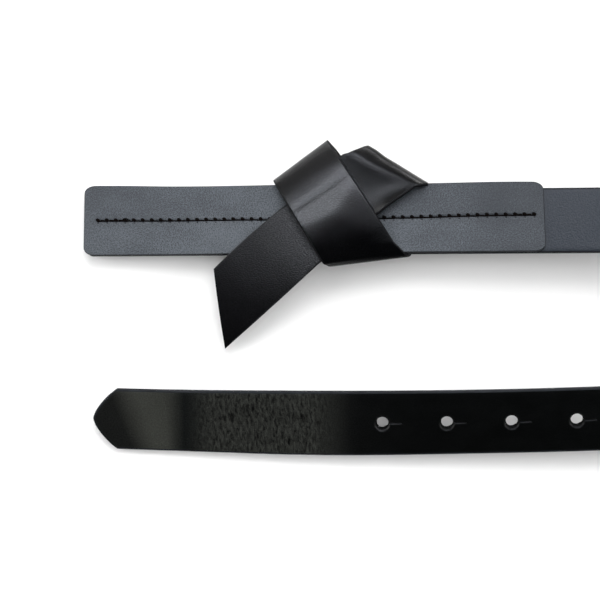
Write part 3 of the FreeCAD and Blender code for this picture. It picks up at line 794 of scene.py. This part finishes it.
bend_upper, bend_lower = [Vector((*p, BAND_LAYER)) for p in BAND_BEND]
bend_line = bend_upper - bend_lower
bend_angle = degrees(atan2(bend_line.y, bend_line.x))
folds, mid, heading, side = [], Vector((*BAND_START, BAND_LAYER)), BAND_HEADING, 1.0
for (run, angle, layer), width in zip(BAND_FOLDS, (BAND_W, BAND_W_FRONT, BAND_W_FRONT)):
    folds.append(Fold(mid + unit(heading) * run, heading, width, side, angle, layer))
    mid, heading, side = folds[-1].end, folds[-1].heading, -side
arch_base = [(fold.before + fold.after) / 2 for fold in folds[1:]]
folds[0].before += LOWER_RISE
arch_length = BAND_FOLDS[2][0]


def arch_height(d, r):
    """Height of the upper crossing at distance d past the second fold's line, on the fibre at r."""
    x = (d - arch_length / 2) / (arch_length / 2 + FOLD_BULGE)
    base = arch_base[0] + (arch_base[1] - arch_base[0]) * (x + 1) / 2
    deep = ARCH_SAG[1] + (ARCH_SAG[0] - ARCH_SAG[1]) * (r + 1) / 2
    square, sag = (ARCH_SQUARE_LOW, deep * (sqrt(x * x + 0.01) - 0.1)) if x < 0 else (ARCH_SQUARE, 0.0)
    return base + (ARCH_PEAK - base - sag) * max(1 - abs(x) ** square, 0.0) ** (1 / square)


def crease(t, r):
    """Soft dents where the upper crossing is pulled tight."""
    h = -0.19 * bump(t, 0.75 - 0.04 * r, 0.075) * smooth(1.5 - abs(r))
    h += 0.10 * uneven(t * 4.0, r * 1.5, 5.0) * smooth(t * 5) * smooth((1 - t) * 5)
    return h


def fibre(r):
    """The mid face's points from the bend line to the strip's end for the fibre at r."""
    def mix(pair):
        return pair[1] + (pair[0] - pair[1]) * (r + 1) / 2

    crowns = (None, lambda p: arch_height(-p, r), lambda p: arch_height(arch_length + p, r))
    over = []
    corner = smooth((r - 0.6) / 0.4)
    for k, (fold, early, crown) in enumerate(zip(folds, FOLD_EARLY, crowns)):
        at = r * (1 - FOLD_NARROW[k]) if r < 0 else r
        over.append(fold.points(at, mix(early[0]), mix(early[1]), crown, mix(FOLD_SLIDE[k]),
                                mix(FOLD_PULL[k]) + FOLD_ROUND[k] * corner))
    start = bend_lower.lerp(bend_upper, (r + 1) / 2)
    last = folds[2].end + folds[2].f * (r * folds[2].half) + unit(folds[2].heading) * BAND_LAST_RUN
    last.z = folds[2].after
    last += Vector((0, -last.y + folds[2].end.y + unit(folds[2].heading).y * BAND_LAST_RUN, 0))
    line = []
    ends = [start] + [p for o in over for p in (o[0], o[-1])] + [last]
    for k, steps in enumerate(RUN_STEPS):
        a, b = ends[2 * k], ends[2 * k + 1]
        for i in range(k > 0, steps + (k == 3)):
            t = i / steps
            p = a.lerp(b, t)
            if k == 0:
                # The right edge bows in and stands clear of the panel; the left edge bows out.
                free = smooth(-r) * bump(t, 0.62, 0.38)
                p += folds[0].f * (0.9 * free + 1.5 * smooth(r) * bump(t, 0.84, 0.40))
                p.z += (b.z - a.z) * (t * t - t) + 2.5 * max(-r, 0.0) ** 3 * bump(t, 0.78, 0.26)
            if k == 2:
                d = mix(FOLD_EARLY[1][1])
                e = mix(FOLD_EARLY[2][0])
                shifted = t + (0.45 * r - 0.36 * r * r) * t * (1 - t)
                p.z = arch_height(d + shifted * (arch_length - d - e), r) + crease(t, r)
            line.append(p)
        if k < 3:
            line += over[k]
    for centre, reach, out in CORNER_FULL:
        for i in range(centre - reach, centre + reach):
            line[i] += out * (bump(i, centre, reach) * smooth(1.6 * r - 0.6))
    return line


def strip_sheet(name, rows, maps, looks):
    """Gives a mid-face grid its thickness: two faces, rounded cut edges and closed ends."""
    sheet = Sheet()
    n, m = len(rows), len(rows[0])
    up = []
    for i in range(n):
        line = []
        for j in range(m):
            along = rows[min(i + 1, n - 1)][j] - rows[max(i - 1, 0)][j]
            across = rows[i][max(j - 1, 0)] - rows[i][min(j + 1, m - 1)]
            line.append(along.cross(across).normalized())
        up.append(line)

    def at(i, j, h, q=0.0):
        p = rows[i][j]
        if q:
            k = 1 if j == 0 else m - 2
            p = p + (rows[i][j] - rows[i][k]).normalized() * q
        return row(FRONT @ (p + up[i][j] * h))

    half = BAND_T / 2
    for h, slot, shift in ((half, 0, 0.0), (-half, 2, BACK_UV)):
        grid = [[(at(i, j, h), (maps[i][j][0], maps[i][j][1] + shift)) for j in range(m)] for i in range(n)]
        sheet.grid(grid, slot, flip=h < 0)
    for j in (0, m - 1):
        strips = []
        for i in range(n):
            u, v = maps[i][j]
            strips.append([(at(i, j, h, q), (u, v + copysign(way, v) * MM)) for q, h, way in BAND_PROFILE])
        sheet.grid(strips, 1, flip=j > 0)
    for i in (0, n - 1):
        top, low = [[at(i, j, h) for j in range(m)] for h in (half, -half)]
        left, right = [[at(i, j, h, q) for q, h, way in BAND_PROFILE[1:-1]] for j in (0, m - 1)]
        ring = top + right + low[::-1] + left[::-1]
        sheet.quad([(p, (0.4, 0.001 * k)) for k, p in enumerate(ring)], 1)
    return sheet.build(name, looks)


def fibres(lines, first_u):
    """Turns fibres into rows of points and their places on the flat strip."""
    ways = [[u + way for way in walked(line)] for line, u in zip(lines, first_u)]
    maps = [[(way * MM, r * BAND_W / 2 * MM) for way, r in zip(across, across_rs)] for across in zip(*ways)]
    return list(zip(*lines)), maps


inner = 1 - BAND_EDGE / (BAND_W / 2)
across_rs = [inner * (1 - 2 * j / BAND_ACROSS) for j in range(BAND_ACROSS + 1)]
lean = bend_line.normalized().dot(unit(BAND_HEADING)) * bend_line.length / 2
band_fibres = [fibre(r) for r in across_rs]
band_rows, band_maps = fibres(band_fibres, [r * lean for r in across_rs])
band = strip_sheet("knot_band_folds", band_rows[HANDOVER:], band_maps[HANDOVER:], KNOT_LOOKS)
BAND_POLISH = ((HANDOVER, 0.36), (14, 0.40), (21, 0.24), (29, 0.13), (35, 0.28), (44, 0.26), (58, 0.18), (84, 0.03),
               (121, 0.04), (132, 0.20), (139, 0.46), (180, 0.44), (216, 0.30))    # row, level
polish(knot_front, [(band_maps[i][BAND_ACROSS // 2][0] / MM, level) for i, level in BAND_POLISH])

# The tail: from its slanted cut to under the upper crossing.
TAIL_STEPS = 44
cut_upper, cut_lower = [Vector((*p, 0)) for p in TAIL_CUT]
cut_upper += Vector((-0.3, 0.7, 0))
cut_lower += Vector((-0.6, -0.7, 0))


def tail_fibre(r):
    line = []
    reach = TAIL_BEND_Y - TAIL_CUT[1][1] + 1.0
    for i in range(TAIL_STEPS):
        t = i / TAIL_STEPS
        bowed = 0.5 * sin(pi * t) * r
        a, b = cut_lower.lerp(cut_upper, (r + 1) / 2), bend_lower.lerp(bend_upper, (r + 1) / 2)
        p = a.lerp(b, t) + unit(BAND_HEADING + 90) * bowed
        p.z = BAND_LAYER - TAIL_DROOP * (max(TAIL_BEND_Y - p.y, 0.0) / reach) ** 2
        p.z += 0.16 * uneven(p.x / 9.0, p.y / 16.0, 2.0) * smooth((1 - t) * 3)
        line.append(p)
    return line


tail_lines = [tail_fibre(r) + line[:HANDOVER + 1] for r, line in zip(across_rs, band_fibres)]
tail_rows, tail_maps = fibres(tail_lines, [r * lean - walked(line)[TAIL_STEPS]
                                           for r, line in zip(across_rs, tail_lines)])
polish(tail_front, [(-60.0, 0.03), (-38.0, 0.11), (-18.0, 0.22), (0.0, 0.46)])
tail = strip_sheet("knot_tail_end", tail_rows, tail_maps, TAIL_LOOKS)


# ---- The front panel with its seam groove ----
GROOVE_DEPTH, GROOVE_HALF = 0.22, 0.45
PANEL_IN = 0.35           # how far its rounded edge reaches in
GLUE_GAP = 0.01           # between the panel and the strap


def seam_line(x):
    """The seam wanders a little, as it was sewn by eye."""
    return 1.05 + 1.2 * smooth((x - 110.0) / 105.0) + 0.08 * sin(x / 9.0)


def in_seam(x):
    return max(smooth((x - a + 1.5) / 2.0) * smooth((b + 1.5 - x) / 2.0) for a, b, y in SEAM_RUNS)


def trimmed(x, y):
    """The panel was trimmed by hand: its outline leaves the plain rectangle by less than a millimetre."""
    f = (y - PANEL_OFFSET) / (PANEL_W / 2)
    up = -0.22 + 0.5 * smooth((45.0 - x) / 40.0) - 0.25 * bump(x, 58.0, 40.0) + 0.35 * bump(x, 195.0, 35.0)
    low = -0.35 - 0.5 * smooth((110.0 - x) / 80.0)
    skew = -0.45 * smooth((x - 190.0) / 20.0) * f - 0.35 * smooth((20.0 - x) / 20.0)
    return x + skew, y + (up * smooth(f) + low * smooth(-f))


def panel_height(x, y):
    h = STRAP_T + PANEL_T
    h -= GROOVE_DEPTH * bump(y, seam_line(x), GROOVE_HALF * 2) * in_seam(x)
    h -= 0.08 * bump(y, seam_line(x), 5.0) * in_seam(x)
    for a, b, middle in SEAM_RUNS:
        if a - 2 < x < b + 2:
            step = (b - a - 0.8) / round((b - a) / SEAM_PITCH)
            off = (x - a - 0.4 + step / 2) % step - step / 2
            h -= 0.20 * bump(hypot(off, (y - seam_line(x)) * 0.9), 0.0, 1.9)
            h += 0.08 * bump(abs(off), step / 2, 1.3) * bump(y, seam_line(x) + 1.0, 1.0)
    h += 0.10 * uneven(x / 40.0, y / 25.0, 1.0)
    return h


def panel_piece():
    sheet = Sheet()
    half_l, half_w = PANEL_L / 2 - PANEL_IN, PANEL_W / 2 - PANEL_IN       # of its flat face
    rx, ry = PANEL_R + 2.2 - PANEL_IN, PANEL_R + 0.6 - PANEL_IN           # its corners are ellipses

    def past(x, y):
        """How far into a corner's cell a point lies, as shares of the cell."""
        return max(abs(x) - (half_l - rx), 0.0) / rx, max(abs(y) - (half_w - ry), 0.0) / ry

    def rounded(x, y):
        """Squares the rectangle's corner cell into a quarter of an ellipse."""
        a, b = past(x, y)
        if a > 0 and b > 0:
            x = copysign(half_l - rx + rx * a * sqrt(1 - b * b / 2), x)
            y = copysign(half_w - ry + ry * b * sqrt(1 - a * a / 2), y)
        return x, y

    def lines(half, corner, middle):
        """Where the mesh's lines lie: close together in the corners, with the middle ones between."""
        return spread(-half, corner - half, 0.5)[:-1] + middle[:-1] + spread(half - corner, half, 0.5)

    seam = 1.65 - PANEL_OFFSET
    xs = lines(half_l, rx, spread(rx - half_l, half_l - rx, 0.72))
    ys = lines(half_w, ry, spread(ry - half_w, seam - 3.0, 1.3)[:-1] + spread(seam - 3.0, seam + 3.0, 0.3)[:-1]
               + spread(seam + 3.0, half_w - ry, 1.3))
    for height, slot, shift in ((panel_height, 0, 0.0), (lambda x, y: STRAP_T + GLUE_GAP, 2, BACK_UV)):
        grid = []
        for x in xs:
            line = []
            for y in ys:
                cx, cy = rounded(x, y)
                bx, by = trimmed(cx + PANEL_L / 2, cy + PANEL_OFFSET)
                line.append((row(FRONT @ Vector((bx, by, height(bx, by)))), (bx * MM, by * MM + shift)))
            grid.append(line)
        sheet.grid(grid, slot, flip=slot == 0)
    border = [(x, ys[0]) for x in xs[:-1]] + [(xs[-1], y) for y in ys[:-1]]
    border += [(x, ys[-1]) for x in xs[:0:-1]] + [(xs[0], y) for y in ys[:0:-1]]
    border = [rounded(x, y) for x, y in border + border[:1]]
    strips = []
    for (cx, cy), run in zip(border, walked(border)):
        a, b = past(cx, cy)
        out = Vector((copysign(a / rx, cx), copysign(b / ry, cy), 0)).normalized()
        bx, by = trimmed(cx + PANEL_L / 2, cy + PANEL_OFFSET)
        crown = panel_height(bx, by) - STRAP_T - PANEL_T
        line = []
        for k, (q, h, way) in enumerate(edge_profile(PANEL_IN, PANEL_T / 2, 2.6)):
            z = STRAP_T + PANEL_T / 2 + h + crown * (h / PANEL_T + 0.5) + GLUE_GAP * (k == EDGE_STEPS)
            line.append((row(FRONT @ Vector((bx + out.x * q, by + out.y * q, z))), (run * MM, (0.3 + k * 0.0004))))
        strips.append(line)
    sheet.grid(strips, 1)
    return sheet.build("front_panel_leather", PANEL_LOOKS)


panel = panel_piece()


# ---- Threads ----
THREAD_SIDES, PLIES, PLY_TWIST = 10, 3, 2.4
NEEDLE_R, BOBBIN_R, BACKSTITCH_R, FRAYED_R = 0.30, 0.22, 0.26, 0.2
SLUG_STEPS, SLUG_SIDES = 6, 8


def tube(sheet, place, steps, radius):
    """A twisted thread along place(t), t from 0 to 1 (belt mm, front-end frame), its ends drawn in and closed."""
    path = [place(k / steps) for k in range(steps + 1)]
    rings = []
    for i, (p, way) in enumerate(zip(path, walked(path))):
        t = (path[min(i + 1, steps)] - path[max(i - 1, 0)]).normalized()
        side = t.cross(Vector((0, 0, 1))).normalized()
        up = side.cross(t)
        r = radius * (0.35 if i in (0, steps) else 1.0)
        ring = []
        for k in range(THREAD_SIDES + 1):
            a = 2 * pi * k / THREAD_SIDES
            rr = r * (1 + 0.16 * cos(PLIES * (a - way * PLY_TWIST)))
            q = p + side * (rr * cos(a)) + up * (rr * sin(a))
            ring.append((row(FRONT @ q), (way * MM, a * radius * MM)))
        rings.append(ring)
    sheet.closed(rings)


def lozenge(sheet, centre, length, width, height, angle):
    """The pressed-in end of a stitch: a slanted, rounded slug of thread in its awl slit."""
    rings = []
    for i in range(SLUG_STEPS + 1):
        a = pi * (i / SLUG_STEPS - 0.5)
        s = max(cos(a), 0.02)
        ring = []
        for k in range(SLUG_SIDES + 1):
            b = 2 * pi * k / SLUG_SIDES
            q = Vector((sin(a) * length / 2, cos(b) * width / 2 * s, sin(b) * height / 2 * s))
            q.rotate(Quaternion((0, 0, 1), radians(angle)))
            ring.append((row(FRONT @ (centre + q)), (i * 0.3 * MM, k * 0.2 * MM)))
        rings.append(ring)
    sheet.closed(rings)


def seam_thread(name, run, upper):
    sheet = Sheet()
    count = round((run[1] - run[0]) / SEAM_PITCH)
    step = (run[1] - run[0] - 0.8) / count
    top = STRAP_T + PANEL_T
    for i in range(count + 1):
        x = run[0] + 0.4 + i * step
        y = seam_line(x) if upper else run[2]
        tilt = 8 * uneven(x, 0, 0)
        if upper:
            lozenge(sheet, Vector((x, y + 0.42, top - 0.08)), 2.15, 1.6, 0.8, -36.0 + tilt)
            lozenge(sheet, Vector((x + 0.15, y - 0.98, top - 0.12)), 1.0, 0.34, 0.3, -8.0 + tilt)
        else:
            lozenge(sheet, Vector((x, y, 0.10)), 1.5, 0.9, 0.4, -35.0 + tilt)

        def stitch(t):
            px = x + step * t
            py = (seam_line(px) if upper else run[2]) + (0.5 - t) * 0.2 - 0.05
            rise = 0.22 * sin(pi * t)
            return Vector((px, py, panel_height(px, seam_line(px)) + rise if upper else 0.14 - rise * 0.5))

        if i < count:
            tube(sheet, stitch, 8, NEEDLE_R if upper else BOBBIN_R)
    if upper:
        backstitch(sheet, run)
    return sheet.build(name, [thread_look.material], weld=1e-7)


def backstitch(sheet, run):
    """The seam's far end is sewn back over itself, with the cut ends left as a small tangle."""
    far = run[0] < 60
    start, way, stitches = (run[0], 1.0, 3) if far else (run[1], -1.0, 2)
    for i in range(stitches):
        x = start + way * (1.6 + i * SEAM_PITCH)

        def over(t):
            px = x + way * SEAM_PITCH * 0.9 * t
            py = seam_line(px) + 0.45 - 0.55 * t
            return Vector((px, py, panel_height(px, py) + 0.12 + 0.26 * sin(pi * t)))

        tube(sheet, over, 8, BACKSTITCH_R)
    for turn, reach in ((0.0, 1.5), (2.1, 1.9), (4.0, 1.3)) if far else ():
        def curl(t):
            a = turn + 4.6 * t
            px = start + 13.6 + reach * cos(a) * (0.6 + 0.4 * t)
            py = seam_line(px) + 0.4 + 0.75 * sin(a)
            return Vector((px, py, panel_height(px, py) + 0.2 + 0.3 * sin(2.5 * t) ** 2))

        tube(sheet, curl, 12, FRAYED_R)


threads = {f"seam_{side}_{kind}_thread": seam_thread(f"seam_{side}_{stitches}", run, kind == "needle")
           for side, run in zip(("left", "right"), SEAM_RUNS)
           for kind, stitches in (("needle", "stitches"), ("bobbin", "back_stitches"))}


# ---- Stud ----
LATHE_SIDES = 48


def lathe(name, outline):
    sheet = Sheet()
    rings = []
    for k in range(LATHE_SIDES + 1):
        a = 2 * pi * k / LATHE_SIDES
        rings.append([(row(FRONT @ Vector((STUD_X + r * cos(a), r * sin(a), z))), (a * 2 * MM, way * MM))
                      for (r, z), way in zip(outline, walked(outline))])
    sheet.grid(rings, 0)
    return sheet.build(name, [metal_look.material], weld=1e-6, sharp=35.0)


dome = [(4.0 * sin(a), -8.6 - 2.4 * cos(a) ** 0.9) for a in [pi / 2 * i / 12 for i in range(12)]]
post_outline = [(0.0, -11.0)] + dome[1:] + [(4.0, -8.5), (3.9, -8.0), (3.6, -7.9), (2.25, -7.85), (2.2, -7.7)]
post_outline += [(2.2, -5.1), (2.25, -4.95), (3.8, -4.4), (3.95, -4.3), (4.0, -4.2), (4.0, -3.9), (3.93, -3.83)]
post_outline += [(1.8, -3.83), (1.78, -6.7), (0.0, -6.7)]
stud_post = lathe("stud_post_turned", post_outline)
screw_outline = [(0.0, -6.6), (1.6, -6.6), (1.75, -6.4), (1.75, 4.1), (4.3, 4.1), (4.45, 4.2), (4.5, 4.3)]
screw_outline += [(4.5, 4.75), (4.4, 4.9), (4.2, 4.99), (1.0, 5.0), (0.55, 4.95), (0.5, 4.5), (0.0, 4.5)]
stud_screw = lathe("stud_screw_turned", screw_outline)


# ---- What moves with what ----
def across_bend(piece, joint_name, before, after, toward, *stands_for):
    """Bakes the piece's placement into its mesh and hides the CAD parts it stands for; toward points to the child's
    side.
    """
    j = joint(joint_name)
    middle, way = Vector(j["pos_m"]), toward.normalized() * MM
    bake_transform(piece)
    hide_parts(*stands_for)


along_front = FRONT.to_3x3() @ Vector((-1, 0, 0))
along_tip = TIP.to_3x3() @ Vector((-1, 0, 0))
across_bend(front_end, "front_lift", 26, 26, along_front, "strap_front_section")
across_bend(round_loop, "loop_open", 30, 30, Vector((0, -1, 0)), "strap_loop", "strap_lower_run")
across_bend(hole_end, "run_lift", 28, 28, along_tip, "strap_hole_run")
across_bend(tip_end, "tip_lift", 24, 24, along_tip, "strap_tip")
tail_way = FRONT.to_3x3() @ unit(bend_angle + 90)
across_bend(tail, "tail_lift", 3, 15, tail_way, "knot_tail")

for piece, node, slot in [(panel, "front_panel", "panel_leather"), (band, "knot_band", "knot_leather"),
                          (stud_post, "stud_post", "stud_metal"), (stud_screw, "stud_screw", "stud_metal")]:
    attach(piece, "front_end")
    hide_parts(node)
for node, piece in threads.items():
    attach(piece, "front_end")
    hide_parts(node)


# ---- Floor, light and camera ----
FLOOR_REACH = 12.0
floor_mesh = bpy.data.meshes.new("floor")
corners = [(x * FLOOR_REACH, y * FLOOR_REACH, 0) for x, y in ((-1, -1), (1, -1), (1, 1), (-1, 1))]
floor_mesh.from_pydata(corners, [], [(0, 1, 2, 3)])
# The floor glows from half a metre out, rising to 0.9 at 1.6 m and beyond: the far floor is a glowing backdrop that
# lights the belt from low angles.
paper = Look("floor_paper_glowing", (0.90, 0.90, 0.90), 0.9, Specular_IOR_Level=0.1, Emission_Color=(1, 1, 1, 1))
from_middle = paper.node("VectorMath", {0: paper.node("TexCoord", {}).outputs["Object"]}, operation="LENGTH")
paper.set(Emission_Strength=paper.ramp(from_middle.outputs["Value"], 0.5, 1.6, 0.0, 0.9))
floor_mesh.materials.append(paper.material)
add_object("floor", floor_mesh)


def soft_light(name, azimuth, zenith, distance, size, size_y, radiance, shades=True, shines=True,
               colour=(1, 1, 1)):
    """A softbox seen from the belt at an azimuth (0 is +Y, 90 is +X) and an angle from overhead.
    It may give only shading and shadows, or only sheen."""
    data = bpy.data.lights.new(name, "AREA")
    data.shape = "RECTANGLE"
    data.size, data.size_y = size, size_y
    data.energy = radiance * pi * size * size_y
    data.color = colour
    a, z = radians(azimuth), radians(zenith)
    made = add_object(name, data)
    made.location = Vector((sin(a) * sin(z), cos(a) * sin(z), cos(z))) * distance
    made.rotation_euler = (-made.location).to_track_quat("-Z", "Y").to_euler()
    made.visible_camera = False
    made.visible_diffuse, made.visible_glossy = shades, shines


soft_light("sheen_box", 0, 20, 1.4, 1.5, 0.44, 7.0, shades=False, colour=(0.87, 0.91, 1.0))
soft_light("top_box", 0, 12, 1.6, 1.2, 1.0, 1.9, shines=False)
soft_light("high_back_box", -10, 50, 1.6, 1.8, 0.9, 0.5, shades=False)
soft_light("back_box", 0, 76, 1.7, 1.8, 0.35, 11.0, shades=False)
soft_light("key_box", 0, 45, 1.6, 1.4, 0.9, 6.5, shines=False)
soft_light("fill_box", 180, 60, 1.6, 1.4, 0.8, 3.2, shines=False)
soft_light("left_box", -80, 62, 1.5, 0.8, 0.8, 6.0)
soft_light("right_box", 80, 62, 1.5, 0.8, 0.8, 6.0)

# The world is bright at the horizon, for the leather's edges to mirror, and nearly dark overhead.
world = bpy.data.worlds.new("studio")
world.use_nodes = True
sky = world.node_tree
direction = add_node(sky, "TexCoord", {}).outputs["Generated"]
height = add_node(sky, "SeparateXYZ", {"Vector": direction}).outputs["Z"]
fade = add_node(sky, "MapRange", {"Value": height, "From Min": 0.08, "From Max": 0.30, "To Min": 0.85,
                                  "To Max": 0.02}).outputs["Result"]
set_input(sky, sky.nodes["Background"].inputs["Strength"], fade)
set_input(sky, sky.nodes["Background"].inputs["Color"], (1.0, 1.0, 1.0, 1.0))
bpy.context.scene.world = world
bpy.context.scene.view_settings.view_transform = "Standard"

camera_data = bpy.data.cameras.new("camera")
camera_data.lens = CAMERA_LENS
camera_data.sensor_width = 36.0
camera_data.clip_start = 0.01
camera = add_object("camera", camera_data)
camera.location = row(Vector(CAMERA_AT))
bpy.context.scene.camera = camera
